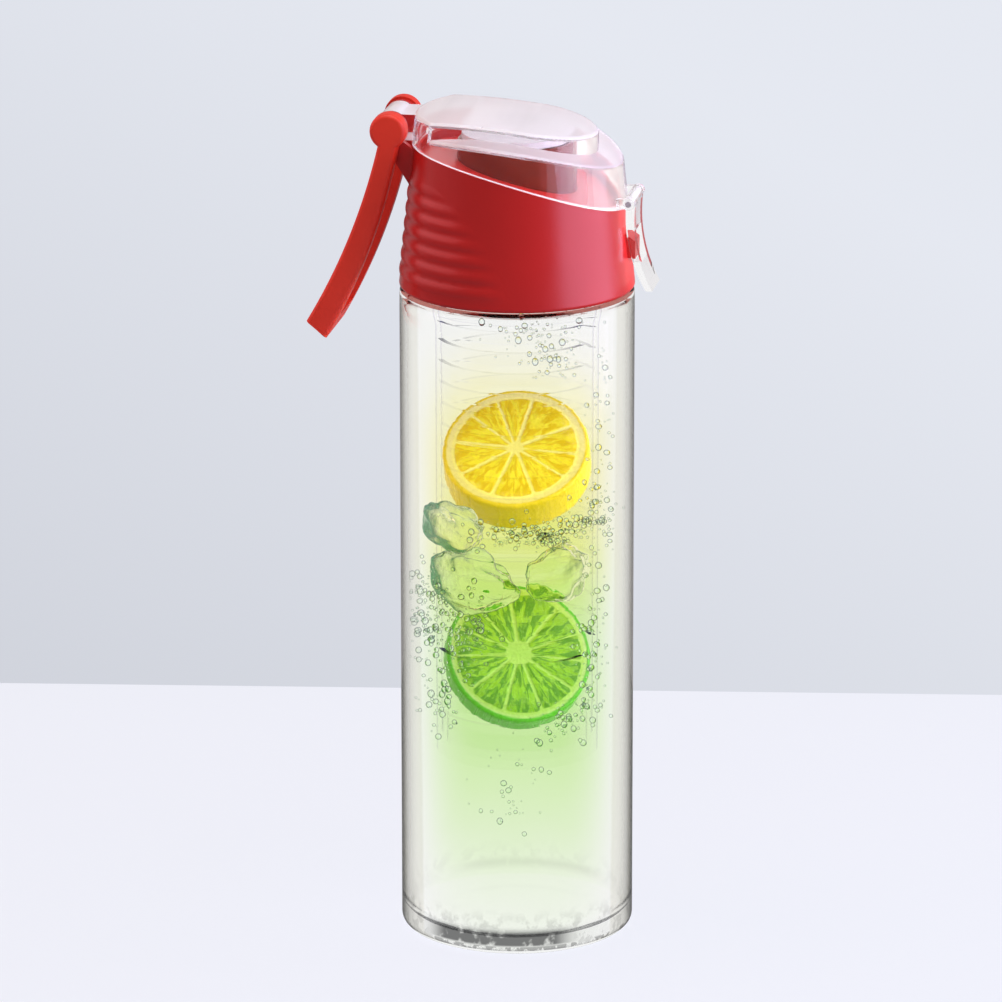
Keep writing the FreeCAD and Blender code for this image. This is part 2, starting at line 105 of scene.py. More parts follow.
def finished(piece, finishes, chosen):
    """Gives every face the finish that is chosen for it; the first one is the piece's own."""
    for finish in finishes[1:]:
        piece.data.materials.append(finish)
    for face in piece.data.polygons:
        face.material_index = finishes.index(chosen(face))


def feed(tree, node, inputs):
    """Gives each of a node's inputs a value, or links it from a socket."""
    for key, value in inputs.items():
        if isinstance(value, bpy.types.NodeSocket):
            tree.links.new(value, node.inputs[key])
        else:
            node.inputs[key].default_value = value


def add(tree, kind, inputs=None, **settings):
    """Adds a shader node with its settings and inputs."""
    made = tree.nodes.new("ShaderNode" + kind)
    for key, value in settings.items():
        setattr(made, key, value)
    feed(tree, made, inputs or {})
    return made


def sums(tree, operation, a, b=0.0, c=0.0):
    """Arithmetic on values or their sockets."""
    return add(tree, "Math", {0: a, 1: b, 2: c}, operation=operation).outputs[0]


def times(tree, product, *factors):
    for factor in factors:
        product = sums(tree, "MULTIPLY", product, factor)
    return product


def vectors(tree, operation, *values, gives="Vector"):
    """Arithmetic on vectors or their sockets."""
    return add(tree, "VectorMath", dict(enumerate(values)), operation=operation).outputs[gives]


def ramped(tree, value, low, high, to_low=0.0, to_high=1.0):
    """A smooth step between two values; it falls where low lies above high."""
    inputs = {"Value": value, "From Min": low, "From Max": high, "To Min": to_low, "To Max": to_high}
    return add(tree, "MapRange", inputs, interpolation_type="SMOOTHSTEP").outputs[0]


def blended(tree, factor, a, b, kind="MIX"):
    """Colour a, mixed with or multiplied by colour b as far as the factor says."""
    return add(tree, "Mix", {0: factor, 6: a, 7: b}, data_type="RGBA", blend_type=kind).outputs[2]


def noisy(tree, place, scale, detail=2.0, distortion=0.0):
    """A cloudy pattern of values about a half."""
    inputs = {"Vector": place, "Scale": scale, "Detail": detail, "Distortion": distortion}
    return add(tree, "TexNoise", inputs).outputs["Fac"]


def effect(name, inputs, outputs):
    """Starts a shader node group; gives its tree, its input node and its output node."""
    tree = bpy.data.node_groups.new(name, "ShaderNodeTree")
    for label, default in inputs.items():
        socket = tree.interface.new_socket(label, in_out="INPUT", socket_type="NodeSocketFloat")
        socket.default_value = default
    for label, kind in outputs.items():
        tree.interface.new_socket(label, in_out="OUTPUT", socket_type=kind)
    return tree, tree.nodes.new("NodeGroupInput"), tree.nodes.new("NodeGroupOutput")


def effect_node(tree, group, **inputs):
    """Places a node group in a material with the material's own values; gives its outputs."""
    made = tree.nodes.new("ShaderNodeGroup")
    made.node_tree = group
    feed(tree, made, inputs)
    return made.outputs


moulding, given, result = effect("moulded_skin", {"Grain": 900.0, "Flow": 40.0},
                                 {"Height": "NodeSocketFloat", "Tone": "NodeSocketFloat"})
place = add(moulding, "TexCoord").outputs["Object"]
grain = noisy(moulding, place, given.outputs["Grain"], detail=3.0)
flow = noisy(moulding, place, given.outputs["Flow"])
feed(moulding, result, {"Height": grain, "Tone": ramped(moulding, flow, low=0.3, high=0.7)})


def middle_of(node):
    low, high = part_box(node)
    return (low + high) / 2


plain_clear = (1, 1, 1, 1)
lemon_height = middle_of("lemon_slice").z
yellow_reach_up = 0.040
yellow_reach_down = 0.056
juice_yellow = (0.99, 0.95, 0.46, 1)
lime_height = middle_of("lime_slice").z
green_reach_up = 0.046
green_reach_down = 0.110
juice_green = (0.70, 0.93, 0.44, 1)
between_height = (lemon_height + lime_height) / 2
between_reach = 0.024
juice_mixed = (0.90, 0.955, 0.46, 1)
juice_bands = (
    (lemon_height, yellow_reach_down, yellow_reach_up, juice_yellow),
    (lime_height, green_reach_down, green_reach_up, juice_green),
    (between_height, between_reach, between_reach, juice_mixed))
juice_waver = 0.012

juice, given, result = effect("juice_tint", {"Strength": 1.0}, {"Color": "NodeSocketColor"})
place = add(juice, "TexCoord").outputs["Object"]
cloud = sums(juice, "SUBTRACT", noisy(juice, place, scale=55.0), 0.5)
rise = add(juice, "SeparateXYZ", {0: place}).outputs["Z"]
height = sums(juice, "MULTIPLY_ADD", cloud, juice_waver, rise)
colour = plain_clear
for middle, reach_down, reach_up, tone in juice_bands:
    amount = times(juice, ramped(juice, height, middle - reach_down, middle),
                   ramped(juice, height, middle + reach_up, middle), given.outputs["Strength"])
    colour = blended(juice, 1.0, colour, blended(juice, amount, plain_clear, tone), "MULTIPLY")
feed(juice, result, {"Color": colour})

# Painted shade in the thick foot: dark bands, blots, wisps and a line, standing in for light bent by the
# base.
foot_ring = 0.031
foot_line = 0.0022
foot_line_left = -0.004
foot_line_right = 0.012
foot_gaps = (0.0036, 0.0027)
foot_band_low = (0.0024, 0.0036)
foot_band_high = (0.00975, 0.00702)
foot_band_sides = 0.026
foot_band_middle = 0.017
foot_wisps_low = 0.0078
foot_wisps_top = 0.0160
foot_columns = (11, 11, 0)
foot_rows = (0, 0, 260)
patch_share = 0.3
foot_shade_colour = (0.012, 0.012, 0.014, 1)

foot_shade, given, result = effect("foot_painted_shade", {"Strength": 1.0}, {"Color": "NodeSocketColor"})
place = add(foot_shade, "TexCoord").outputs["Object"]
axes = add(foot_shade, "SeparateXYZ", {0: place}).outputs
rise = axes["Z"]
flat = add(foot_shade, "CombineXYZ", {"X": axes["X"], "Y": axes["Y"]}).outputs[0]
reach = vectors(foot_shade, "LENGTH", flat, gives="Value")
way = vectors(foot_shade, "NORMALIZE", flat)
columns = vectors(foot_shade, "MULTIPLY", way, foot_columns)
blobs = noisy(foot_shade, vectors(foot_shade, "MULTIPLY_ADD", place, foot_rows, columns), scale=1.0, detail=3.0)
patches = noisy(foot_shade, way, scale=2.2)
broken = sums(foot_shade, "MULTIPLY_ADD", patches, patch_share, times(foot_shade, blobs, 1 - patch_share))
sides = sums(foot_shade, "ABSOLUTE", axes["X"])
painted_shade_band = times(foot_shade, ramped(foot_shade, rise, *foot_band_low), ramped(foot_shade, rise, *foot_band_high),
             ramped(foot_shade, broken, low=0.26, high=0.47),
             ramped(foot_shade, sides, foot_band_sides, foot_band_middle, to_low=0.15))
gaps = times(foot_shade, ramped(foot_shade, rise, *foot_gaps, to_high=0.8),
             ramped(foot_shade, blobs, low=0.53, high=0.45))
line = times(foot_shade, ramped(foot_shade, rise, foot_line, foot_line / 2, to_high=0.9),
             ramped(foot_shade, axes["X"], foot_line_right, foot_line_left, to_low=0.35))
wisps = times(foot_shade, ramped(foot_shade, rise, foot_wisps_top, foot_wisps_low, to_high=0.45),
              ramped(foot_shade, blobs, low=0.45, high=0.62))
amount = sums(foot_shade, "MAXIMUM", sums(foot_shade, "MAXIMUM", painted_shade_band, gaps), sums(foot_shade, "MAXIMUM", line, wisps))
amount = times(foot_shade, amount, ramped(foot_shade, reach, foot_ring, foot_ring + foot_line),
               given.outputs["Strength"])
feed(foot_shade, result, {"Color": blended(foot_shade, amount, plain_clear, foot_shade_colour)})


def started(name):
    """A new material with its tree emptied, its Principled shader and its output."""
    material = bpy.data.materials.new(name)
    material.use_nodes = True
    tree = material.node_tree
    tree.nodes.clear()
    shader = add(tree, "BsdfPrincipled")
    out = add(tree, "OutputMaterial", {"Surface": shader.outputs[0]})
    return material, tree, shader, out


def clear_plastic(name, centre, edge, edge_start, roughness, ior, edge_end=1.0, stains=(), outer_painted_shades=(),
                  painted_shade_band=plain_clear, milk=0.0, ripple=0.04, ripple_depth=0.0004, grain=260.0):
    """Clear moulding: see-through in the middle, in another tone where the wall is seen edge on.

    Stains, such as the juice's tint, fade towards the edge. Outer painted shades lie only on the outside of
    a face. A dark edge tone and the band are painted shade, standing in for light bent and reflected in the
    wall.
    """
    material, tree, shader, out = started(name)
    skin = effect_node(tree, moulding, Grain=grain, Flow=22.0)
    bump = add(tree, "Bump", {"Strength": ripple, "Distance": ripple_depth, "Height": skin["Height"]})
    facing = add(tree, "LayerWeight", {"Blend": 0.5, "Normal": bump.outputs[0]}).outputs["Facing"]
    colour = blended(tree, ramped(tree, facing, edge_start, edge_end), centre, edge)
    # A band of painted shade part way to the edge, standing in for light reflected inside the wall.
    colour = blended(tree, ramped(tree, facing, low=0.45, high=0.49), colour, painted_shade_band, "MULTIPLY")
    for group, strength in stains:
        tint_and_shade = effect_node(tree, group, Strength=strength)["Color"]
        colour = blended(tree, ramped(tree, facing, low=0.50, high=0.10), colour, tint_and_shade, "MULTIPLY")
    # Painted shade that lies only on the outer side of a face.
    for group, strength in outer_painted_shades:
        from_inside = add(tree, "NewGeometry").outputs["Backfacing"]
        tint_and_shade = effect_node(tree, group, Strength=strength)["Color"]
        tint_and_shade = blended(tree, from_inside, tint_and_shade, plain_clear)
        colour = blended(tree, 1.0, colour, tint_and_shade, "MULTIPLY")
    feed(tree, shader, {
        "Base Color": colour, "Normal": bump.outputs[0], "IOR": ior, "Transmission Weight": 1.0 - milk,
        "Roughness": ramped(tree, skin["Tone"], 0, 1, roughness, roughness * 2)})
    light = add(tree, "LightPath").outputs["Is Shadow Ray"]
    lets_light = add(tree, "BsdfTransparent", {"Color": (0.97, 0.97, 0.98, 1)})
    both = add(tree, "MixShader", {0: light, 1: shader.outputs[0], 2: lets_light.outputs[0]})
    feed(tree, out, {"Surface": both.outputs[0]})
    return material


# The bottle's near-black edge tone and beige band are painted shade; its faces also take the foot's painted
# shade.
bottle_clear = (0.99, 0.99, 0.985, 1)
bottle_ior = 1.14
bottle_juice = (juice, 0.70)
clear_bottle = clear_plastic(
    "clear_bottle", bottle_clear, edge=(0.05, 0.05, 0.047, 1), edge_start=0.49, edge_end=0.88,
    roughness=0.01, ior=bottle_ior, stains=(bottle_juice,), outer_painted_shades=((foot_shade, 0.97),),
    painted_shade_band=(0.82, 0.80, 0.74, 1))
clear_inside = clear_plastic(
    "clear_bottle_inside", bottle_clear, edge=(0.80, 0.80, 0.78, 1), edge_start=0.80,
    roughness=0.01, ior=bottle_ior, stains=(bottle_juice,), outer_painted_shades=((foot_shade, 0.25),))
# Painted shade and painted red reflection of the lid, given to the shoulder's outer corner.
shoulder_painted_lid_shade = clear_plastic(
    "shoulder_painted_lid_shade", (0.26, 0.040, 0.030, 1), edge=(0.20, 0.03, 0.025, 1), edge_start=0.6,
    roughness=0.02, ior=bottle_ior)
clear_foot = clear_plastic(
    "clear_foot", bottle_clear, edge=(0.93, 0.93, 0.91, 1), edge_start=0.80, roughness=0.01, ior=1.02)

inside = body_radius - body_wall
under = shoulder_height - body_wall
floor_edge = inside - floor_round
ring_shares = [ring / floor_rings for ring in range(1, floor_rings + 1)]
floor_dome = [(floor_edge * (1 - share), base_thickness + floor_rise * (1 - (1 - share) ** 2), 0)
              for share in ring_shares]
bm = spun([
    (0, 0, 0), (body_radius, 0, base_round), (body_radius, shoulder_height, shoulder_round),
    (neck_radius, shoulder_height, 0), (neck_radius, neck_top, lip_round),
    (neck_bore, neck_top, lip_round), (neck_bore, under, lip_round),
    (inside, under, shoulder_inside_round), (inside, base_thickness, floor_round)] + floor_dome)
piece = shown(bm, "clear_bottle_wall", clear_bottle, "bottle", "clear_bottle", "bottle_body", sharp=50)
level_slope = 0.5


def bottle_finish(face):
    outward = face.normal.x * face.center.x + face.normal.y * face.center.y
    high = face.center.z > shoulder_height - shoulder_round
    looks_up = face.normal.z > level_slope
    # The shoulder's outer corner takes the painted shade of the lid.
    if high and looks_up and outward > 0 and hypot(face.center.x, face.center.y) > inside:
        return shoulder_painted_lid_shade
    if face.normal.z < -level_slope and face.center.z < base_round:
        return clear_foot
    return clear_inside if outward < 0 or looks_up or high else clear_bottle


finished(piece, (clear_bottle, clear_inside, shoulder_painted_lid_shade, clear_foot), bottle_finish)

thread_lead = 0.005
thread_turns = 2
thread_turn_steps = 96
thread_start = 0.003
thread_root = 0.0022
thread_crest = 0.001
thread_sink = 0.0004
thread_depth = 0.001
root_radius = neck_radius - thread_sink
crest_radius = neck_radius + thread_depth
thread_section = (
    (root_radius, -thread_root / 2), (crest_radius, -thread_crest / 2),
    (crest_radius, thread_crest / 2), (root_radius, thread_root / 2))
bm = bmesh.new()
start = bm.faces.new([bm.verts.new((radius, 0, shoulder_height + thread_start + rise))
                      for radius, rise in thread_section])
bmesh.ops.spin(bm, geom=[start], cent=(0, 0, 0), axis=(0, 0, 1), angle=tau * thread_turns,
               dvec=(0, 0, thread_lead / thread_turn_steps), steps=thread_turn_steps * thread_turns,
               use_merge=False)
bmesh.ops.recalc_face_normals(bm, faces=bm.faces)
shown(bm, "neck_thread", clear_inside, "bottle", "clear_bottle")


# Infuser tube and its end cap: clear mouldings, the tube slotted front and back, the cap pushed into it.
# Their shapes are right as they were drawn, so the loose triangles are merged and shaded smooth. The floors
# of the upper slots, and of one slot beside the lime, carry dark violet painted shade, strongest at the
# slots' ends, where the thick walls are seen edge on.
def merged(node):
    bm = bmesh.new()
    bm.from_mesh(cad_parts[node].data)
    bmesh.ops.remove_doubles(bm, verts=bm.verts, dist=weld)
    return bm


# Painted shade on the slot floors: dark violet, darker towards the ends of the slots.
slot_tail = 0.0110
slot_end = 0.0222
upper_slots_low = 0.172
upper_slots_high = 0.197
dark_slot = 0.09085
dark_slot_core = 0.0004
dark_slot_reach = 0.0012
least_slot_shade = 0.10
slot_shade_violet = (0.010, 0.010, 0.045, 1)
slot_shade, given, result = effect("slot_floor_shade", {"Strength": 1.0}, {"Color": "NodeSocketColor"})
place = add(slot_shade, "TexCoord").outputs["Object"]
axes = add(slot_shade, "SeparateXYZ", {0: place}).outputs
ends = ramped(slot_shade, sums(slot_shade, "ABSOLUTE", axes["X"]), slot_tail, slot_end)
upper = ramped(slot_shade, axes["Z"], upper_slots_low, upper_slots_high)
away = sums(slot_shade, "ABSOLUTE", sums(slot_shade, "SUBTRACT", axes["Z"], dark_slot))
lower = ramped(slot_shade, away, dark_slot_reach, dark_slot_core)
amount = sums(slot_shade, "MULTIPLY_ADD", sums(slot_shade, "MAXIMUM", upper, lower), ends, least_slot_shade)
amount = times(slot_shade, amount, given.outputs["Strength"])
feed(slot_shade, result, {"Color": blended(slot_shade, amount, plain_clear, slot_shade_violet)})

infuser_look = {"centre": (0.99, 0.99, 0.99, 1), "edge": (0.62, 0.60, 0.72, 1), "edge_start": 0.75,
                "roughness": 0.015, "ior": 1.006}
clear_infuser = clear_plastic("clear_infuser", **infuser_look, stains=((juice, 0.14),))
shaded_slot_floor = clear_plastic("shaded_slot_floor", **infuser_look, outer_painted_shades=((slot_shade, 0.97),))
floor_level = 0.9
piece = shown(merged("infuser_basket"), "infuser_tube", clear_infuser, "infuser", "clear_infuser",
              "infuser_basket")
finished(piece, (clear_infuser, shaded_slot_floor),
         lambda face: shaded_slot_floor if face.normal.z > floor_level else clear_infuser)
shown(merged("infuser_cap"), "infuser_end_cap", clear_infuser, "infuser_end", "clear_infuser",
      "infuser_cap")


# Fruit slices: a wheel of lemon and a wheel of lime cut across, each with rind, pith and juicy segments.
# Each is spun flat, its cut faces swell between the membranes, and it is then turned into place in the
# tube, which its rind just clears.
tube_wall = 0.0016
slice_gap = 0.0007
slice_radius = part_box("infuser_cap")[1].x - tube_wall - slice_gap
rind_round = 0.0012
slice_rings = 26
slice_steps = 240
arc_steps = 3
edge_rings = 6
swell = 0.00035
swell_reach = 0.0012
sunk_share = 0.6
cut_roughness = 0.00012
cut_grain = 900
rind_roughness = 0.00018
rind_grain = 700
uneven_waves = ((0.10, 2.0, 1.3), (0.05, 3.0, 0.4))


def citrus_slice(name, node, material, slot, thickness, count, core, pith, facing, tilt, roll):
    """A wheel of fruit, whose uneven segments follow the same waves as its material."""
    half = thickness / 2
    face_radius = slice_radius - rind_round
    bends = [radians(90) * step / arc_steps for step in range(1, arc_steps + 1)]
    upper = [(face_radius * ring / slice_rings, half, 0) for ring in range(slice_rings + 1)]
    upper += [(face_radius + rind_round * sin(bend), half - rind_round + rind_round * cos(bend), 0)
              for bend in bends]
    side = [(slice_radius, half - rind_round - (thickness - 2 * rind_round) * ring / edge_rings, 0)
            for ring in range(1, edge_rings)]
    lower = [(radius, -height, 0) for radius, height, _ in reversed(upper)]
    bm = spun(upper + side + lower, slice_steps)
    own_place = bm.verts.layers.float_vector.new("slice_place")
    for vert in bm.verts:
        vert[own_place] = vert.co
        out = hypot(vert.co.x, vert.co.y)
        angle = atan2(vert.co.y, vert.co.x)
        warped = angle
        for size, waves, phase in uneven_waves:
            warped += size * sin(waves * angle + phase)
        within = warped * count / tau % 1
        from_skin = min(within, 1 - within) * tau * out / count
        depth = max(0.0, min(from_skin, pith - out, out - core))
        if out < face_radius + rind_round / 2:
            lift = swell * (1 - exp(-depth / swell_reach)) - swell * sunk_share
            up = 1 if vert.co.z > 0 else -1
            vert.co.z += up * lift
            vert.co.z += up * cut_roughness * noise.noise(vert.co * cut_grain)
        else:
            grow = 1 + rind_roughness / slice_radius * (noise.noise(vert.co * rind_grain) - sunk_share)
            vert.co.x *= grow
            vert.co.y *= grow
    place = (Matrix.Translation(middle_of(node)) @ Matrix.Rotation(radians(facing), 4, "Z")
             @ Matrix.Rotation(radians(90 - tilt), 4, "X") @ Matrix.Rotation(radians(roll), 4, "Z"))
    bmesh.ops.transform(bm, matrix=place, verts=bm.verts)
    return shown(bm, name, material, "infuser", slot, node, sharp=80)


def citrus(name, count, core, pith, pulp_deep, pulp_light, membrane, white, rind, painted_glow):
    """Cut citrus: radial juice sacs between pale membranes, a pith ring and a pored rind."""
    material, tree, shader, _ = started(name)
    own = add(tree, "Attribute", attribute_name="slice_place").outputs["Vector"]
    axes = add(tree, "SeparateXYZ", {0: own}).outputs
    flat = add(tree, "CombineXYZ", {"X": axes["X"], "Y": axes["Y"]}).outputs[0]
    reach = vectors(tree, "LENGTH", flat, gives="Value")
    angle = sums(tree, "ARCTAN2", axes["Y"], axes["X"])
    warped = angle
    for size, waves, phase in uneven_waves:
        wave = sums(tree, "SINE", sums(tree, "MULTIPLY_ADD", angle, waves, phase))
        warped = sums(tree, "MULTIPLY_ADD", wave, size, warped)
    within = sums(tree, "FRACT", sums(tree, "MULTIPLY_ADD", warped, count / tau, count))
    nearest = sums(tree, "MINIMUM", within, sums(tree, "SUBTRACT", 1.0, within))
    waver = sums(tree, "SUBTRACT", noisy(tree, own, scale=420.0), 0.5)

    pith_blend = 0.0016
    core_blend = 0.0012
    membrane_waver = 0.0005
    membrane_half = 0.0002
    pulp_start = 0.0007
    from_skin = times(tree, nearest, reach, tau / count)
    from_pith = sums(tree, "SUBTRACT", pith, reach)
    from_core = sums(tree, "SUBTRACT", reach, core)
    depth = sums(tree, "SMOOTH_MIN", from_skin, from_pith, pith_blend)
    depth = sums(tree, "SMOOTH_MIN", depth, from_core, core_blend)
    depth = sums(tree, "MULTIPLY_ADD", waver, membrane_waver, depth)
    pulp = ramped(tree, depth, membrane_half, pulp_start)

    sacs_round = 10.0
    sacs_out = 210.0
    sacs_place = add(tree, "CombineXYZ", {"X": times(tree, angle, sacs_round),
                                          "Y": times(tree, reach, sacs_out)}).outputs[0]
    sacs = noisy(tree, sacs_place, scale=1.0, detail=3.0, distortion=0.8)
    deep = ramped(tree, reach, pith * 0.55, pith, to_high=0.35)
    streak = sums(tree, "ADD", ramped(tree, sacs, low=0.40, high=0.62), deep)
    streak = add(tree, "Clamp", {"Value": streak}).outputs[0]
    colour = blended(tree, pulp, membrane, blended(tree, streak, pulp_light, pulp_deep))

    pith_edge = 0.0008
    rind_waver = 0.0004
    rind_depth = 0.0017
    rind_full = 0.0010
    colour = blended(tree, ramped(tree, reach, pith, pith + pith_edge), colour, white)
    skin_edge = sums(tree, "MULTIPLY_ADD", waver, rind_waver, reach)
    in_rind = ramped(tree, skin_edge, slice_radius - rind_depth, slice_radius - rind_full)
    colour = blended(tree, in_rind, colour, rind)
    pores = add(tree, "TexVoronoi", {"Vector": own, "Scale": 900.0}).outputs["Distance"]
    colour = blended(tree, ramped(tree, pores, low=0.25, high=0.05, to_high=0.18), colour, pulp_deep)
    relief = sums(tree, "MULTIPLY_ADD", pulp, sacs, times(tree, pores, 0.4))
    bump = add(tree, "Bump", {"Strength": 0.5, "Distance": 0.0005, "Height": relief})
    # The flesh also glows faintly in its own colour: painted light, standing in for light shining through
    # it.
    feed(tree, shader, {
        "Base Color": colour, "Emission Color": colour, "Emission Strength": painted_glow,
        "Roughness": ramped(tree, sacs, low=0.3, high=0.7, to_low=0.22, to_high=0.42),
        "Normal": bump.outputs[0], "Coat Weight": 0.25, "Coat Roughness": 0.12})
    return material


lemon_skin = 0.0034
lemon = {"count": 10, "core": 0.0018, "pith": slice_radius - lemon_skin}
lemon_cut = citrus(
    "lemon_cut", **lemon, pulp_deep=(0.62, 0.50, 0.004, 1), pulp_light=(0.76, 0.76, 0.05, 1),
    membrane=(0.76, 0.79, 0.24, 1), white=(0.70, 0.71, 0.27, 1), rind=(0.66, 0.57, 0.006, 1), painted_glow=0.10)
citrus_slice("lemon_wheel", "lemon_slice", lemon_cut, "lemon", **lemon, thickness=0.012,
             facing=3, tilt=53, roll=0)
lime_skin = 0.0026
lime = {"count": 11, "core": 0.0036, "pith": slice_radius - lime_skin}
lime_cut = citrus(
    "lime_cut", **lime, pulp_deep=(0.085, 0.25, 0.004, 1), pulp_light=(0.29, 0.51, 0.03, 1),
    membrane=(0.38, 0.56, 0.12, 1), white=(0.42, 0.57, 0.20, 1), rind=(0.09, 0.40, 0.015, 1), painted_glow=0.07)
citrus_slice("lime_wheel", "lime_slice", lime_cut, "lime", **lime, thickness=0.008,
             facing=22, tilt=38, roll=20)


# Ice and drops: a few lumps of ice wedged between the tube and the wall, and water drops that cling
# to the inside of the wall round the fruit. They only show what the bottle holds.
tube_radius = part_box("infuser_basket")[1].x
gap_room = 0.0003
ice_middle = (tube_radius + inside) / 2
ice_half = (inside - tube_radius) / 2 - gap_room
coarse_crumple = 0.30
coarse_grain = 1.7
fine_crumple = 0.06
fine_grain = 4.5
crumple_room = 1 + coarse_crumple + fine_crumple
ice_shift = (7.1, 3.3, 1.7)
# Azimuth and height of the middle, then half the turn and half the height
ice_lumps = (
    (-34, 0.1340, 36, 0.0100),
    (-21, 0.1180, 40, 0.0130),
    (37, 0.1205, 29, 0.0125))
# The ice's dark green edge tone is painted shade.
clear_ice = clear_plastic(
    "clear_ice", (0.93, 0.99, 0.86, 1), edge=(0.02, 0.11, 0.08, 1), edge_start=0.16, edge_end=0.66,
    roughness=0.02, ior=1.16, ripple=0.6, ripple_depth=0.0022, grain=110.0)
bm = bmesh.new()
for number, (azimuth, height, half_turn, half_height) in enumerate(ice_lumps):
    shift = Vector([number * step for step in ice_shift])
    for vert in bmesh.ops.create_icosphere(bm, subdivisions=5, radius=1.0)["verts"]:
        crumple = 1 + coarse_crumple * noise.noise(vert.co * coarse_grain + shift)
        crumple += fine_crumple * noise.noise(vert.co * fine_grain + shift)
        spot = vert.co * crumple / crumple_room
        angle = radians(azimuth + half_turn * spot.x)
        reach = ice_middle + ice_half * spot.y
        vert.co = (reach * sin(angle), -reach * cos(angle), height + half_height * spot.z)
bmesh.ops.recalc_face_normals(bm, faces=bm.faces)
shown(bm, "ice_lumps", clear_ice, "bottle", "clear_bottle", sharp=60)

# Azimuth and height of the middle, spread of both, and number of drops
drop_groups = (
    (20, 0.199, 13, 0.0030, 70),
    (26, 0.190, 9, 0.0036, 60),
    (60, 0.175, 5, 0.0110, 44),
    (20, 0.1350, 18, 0.0024, 260),
    (56, 0.138, 8, 0.0070, 90),
    (-49, 0.106, 10, 0.0080, 130),
    (-24, 0.102, 11, 0.0070, 190),
    (54, 0.098, 6, 0.0090, 80),
    (38, 0.0757, 12, 0.0040, 70),
    (9, 0.0544, 10, 0.0110, 44),
    (-36, 0.0788, 11, 0.0060, 56))
drop_size = 0.00085
drop_room = gap_room / 5
smallest_share = 0.3
small_power = 2.5
flattest_share = 0.85
tallest_share = 1.2
# The drops' dark edge tone is painted shade.
clear_drop = clear_plastic(
    "clear_drop", (0.95, 1.0, 0.97, 1), edge=(0.005, 0.04, 0.06, 1), edge_start=0.12, edge_end=0.70,
    roughness=0.01, ior=1.20)
ball = bmesh.new()
bmesh.ops.create_uvsphere(ball, u_segments=8, v_segments=6, radius=1.0)
drop = bpy.data.meshes.new("drop")
random.seed(7)
for number, (azimuth, height, turn, rise, count) in enumerate(drop_groups, 1):
    bm = bmesh.new()
    for _ in range(count):
        size = drop_size * (smallest_share + random.random() ** small_power)
        angle = radians(random.gauss(azimuth, turn))
        reach = inside - drop_room - size
        spot = Matrix.Translation((reach * sin(angle), -reach * cos(angle), random.gauss(height, rise)))
        tall = size * random.uniform(flattest_share, tallest_share)
        ball.to_mesh(drop)
        drop.transform(spot @ Matrix.Diagonal((size, size, tall, 1)))
        bm.from_mesh(drop)
    shown(bm, f"water_drops_{number}", clear_drop, "bottle", "clear_bottle", sharp=180)
ball.free()
bpy.data.meshes.remove(drop)


# Red lid mouldings: the insert that screws on the neck and holds the tube, the shell pressed over it,
# and the drinking spout with its flange. All are glossy red plastic with a faint moulded skin. The shell's
# grip ribs fade out at their front ends, along the arc that bounds them.
def red_plastic(name, deep, bright, smooth, rough, grain, grain_depth, gloss=0.5, gloss_tint=plain_clear):
    material, tree, shader, _ = started(name)
    skin = effect_node(tree, moulding, Grain=grain, Flow=30.0)
    bump = add(tree, "Bump", {"Strength": grain_depth, "Distance": 0.0002, "Height": skin["Height"]})
    feed(tree, shader, {
        "Base Color": blended(tree, skin["Tone"], deep, bright),
        "Roughness": ramped(tree, skin["Tone"], 0, 1, rough, smooth),
        "Normal": bump.outputs[0], "Specular IOR Level": gloss, "Specular Tint": gloss_tint})
    return material


lid_red = red_plastic("lid_red", deep=(0.50, 0.013, 0.011, 1), bright=(0.55, 0.016, 0.014, 1),
                      smooth=0.28, rough=0.34, grain=1400.0, grain_depth=0.10)
# The spout's red is a darker copy of the lid's: painted shade for the spout that stands under the cover.
spout_red_shaded = red_plastic("spout_red_shaded", deep=(0.15, 0.010, 0.003, 1), bright=(0.18, 0.013, 0.004, 1),
                        smooth=0.12, rough=0.16, grain=1400.0, grain_depth=0.06,
                        gloss=0.35, gloss_tint=(1.0, 0.25, 0.20, 1))
shown(merged("inner_cap"), "lid_insert", lid_red, "lid", "red_plastic", "inner_cap")
lid_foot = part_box("lid_shell")[0].z
lid_overhang = 0.0002
lid_radius = body_radius + lid_overhang
lid_draw = 0.0047
rim_back = 0.0447
rib_proud = 0.00045
rib_least = rib_proud * 0.05
rib_most = rib_proud * 1.1
rib_keep_share = 0.95
rib_fade = 0.006
rib_end = 0.00004
ribs_arc_x = -0.04459
ribs_arc_rise = -0.00786
ribs_arc_radius = 0.04922
bm = merged("lid_shell")
for vert in bm.verts:
    rise = vert.co.z - lid_foot
    out = hypot(vert.co.x, vert.co.y)
    plain = lid_radius - lid_draw * rise / rim_back
    proud = out - plain
    within = ribs_arc_radius - hypot(vert.co.x - ribs_arc_x, rise - ribs_arc_rise)
    if rib_least < proud < rib_most and within > -rib_proud:
        share = min(1.0, max(0.0, within / rib_fade))
        keep = (plain + proud * rib_keep_share * share) / out
        vert.co.x *= keep
        vert.co.y *= keep
bmesh.ops.remove_doubles(bm, verts=bm.verts, dist=rib_end)
shown(bm, "lid_outer", lid_red, "lid", "red_plastic", "lid_shell", sharp=30)
shown(merged("spout"), "drinking_spout", spout_red_shaded, "lid", "red_plastic", "spout")


